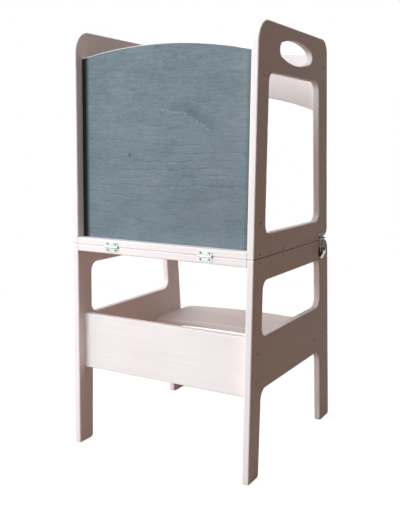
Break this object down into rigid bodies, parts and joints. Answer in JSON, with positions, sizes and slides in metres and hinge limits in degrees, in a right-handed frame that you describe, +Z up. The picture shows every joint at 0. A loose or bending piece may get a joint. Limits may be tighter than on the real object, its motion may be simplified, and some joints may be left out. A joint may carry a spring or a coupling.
{
  "type": "folding learning tower with chalkboard",
  "caption": "Child's wooden standing tower with an arched chalkboard front and a step behind, hinged at mid height and latched at the sides so that it folds into a table.",
  "frame": {"origin": "centre of the overall footprint, on the floor", "axes": "+Z up, +X to the right of someone facing the chalkboard, -Y the way the chalkboard faces"},
  "size_m": [0.4578, 0.524, 0.905],
  "materials": {
    "painted_wood": "satin paint on plywood, the grain just showing",
    "slate_board": "matt slate stain with the grain showing",
    "nickel_steel": "bright nickel plate, lightly brushed",
    "dark_steel": "dark zinc plate"
  },
  "bodies": {
    "lower": {"left_lower_side": "painted_wood", "right_lower_side": "painted_wood", "front_apron": "painted_wood", "table_board": "painted_wood", "step_board": "painted_wood", "lower_frame_screws": "dark_steel", "hinge_lower_leaves": "nickel_steel", "hinge_pins": "nickel_steel", "hinge_lower_screws": "nickel_steel", "right_latch_base": "nickel_steel", "left_latch_base": "nickel_steel", "right_lever_pin": "nickel_steel", "left_lever_pin": "nickel_steel", "latch_base_screws": "nickel_steel"},
    "upper": {"left_upper_side": "painted_wood", "right_upper_side": "painted_wood", "chalkboard": "slate_board", "standing_board": "painted_wood", "rear_rail": "painted_wood", "upper_frame_screws": "dark_steel", "hinge_upper_leaves": "nickel_steel", "hinge_upper_screws": "nickel_steel", "right_latch_keeper": "nickel_steel", "left_latch_keeper": "nickel_steel", "latch_keeper_screws": "nickel_steel"},
    "right_lever": {"right_latch_lever": "nickel_steel"},
    "left_lever": {"left_latch_lever": "nickel_steel"},
    "right_bail": {"right_latch_bail": "nickel_steel"},
    "left_bail": {"left_latch_bail": "nickel_steel"}
  },
  "joints": [
    {"name": "fold", "type": "hinge", "parent": "lower", "child": "upper", "pos_m": [0, -0.25982, 0.4555], "axis": [1, 0, 0], "range_deg": [0, 180]},
    {"name": "right_lever_hinge", "type": "hinge", "parent": "lower", "child": "right_lever", "pos_m": [0.2235, 0.10852, 0.434], "axis": [0, -1, 0], "range_deg": [0, 130]},
    {"name": "left_lever_hinge", "type": "hinge", "parent": "lower", "child": "left_lever", "pos_m": [-0.2235, 0.10852, 0.434], "axis": [0, 1, 0], "range_deg": [0, 130]},
    {"name": "right_bail_hinge", "type": "hinge", "parent": "right_lever", "child": "right_bail", "pos_m": [0.22246, 0.10852, 0.42809], "axis": [0, -1, 0], "range_deg": [-138, 0]},
    {"name": "left_bail_hinge", "type": "hinge", "parent": "left_lever", "child": "left_bail", "pos_m": [-0.22246, 0.10852, 0.42809], "axis": [0, 1, 0], "range_deg": [-138, 0]}
  ],
  "couplings": [
    {"joint": "right_bail_hinge", "follows": "right_lever_hinge", "ratio": -1.06},
    {"joint": "left_bail_hinge", "follows": "left_lever_hinge", "ratio": -1.06}
  ]
}
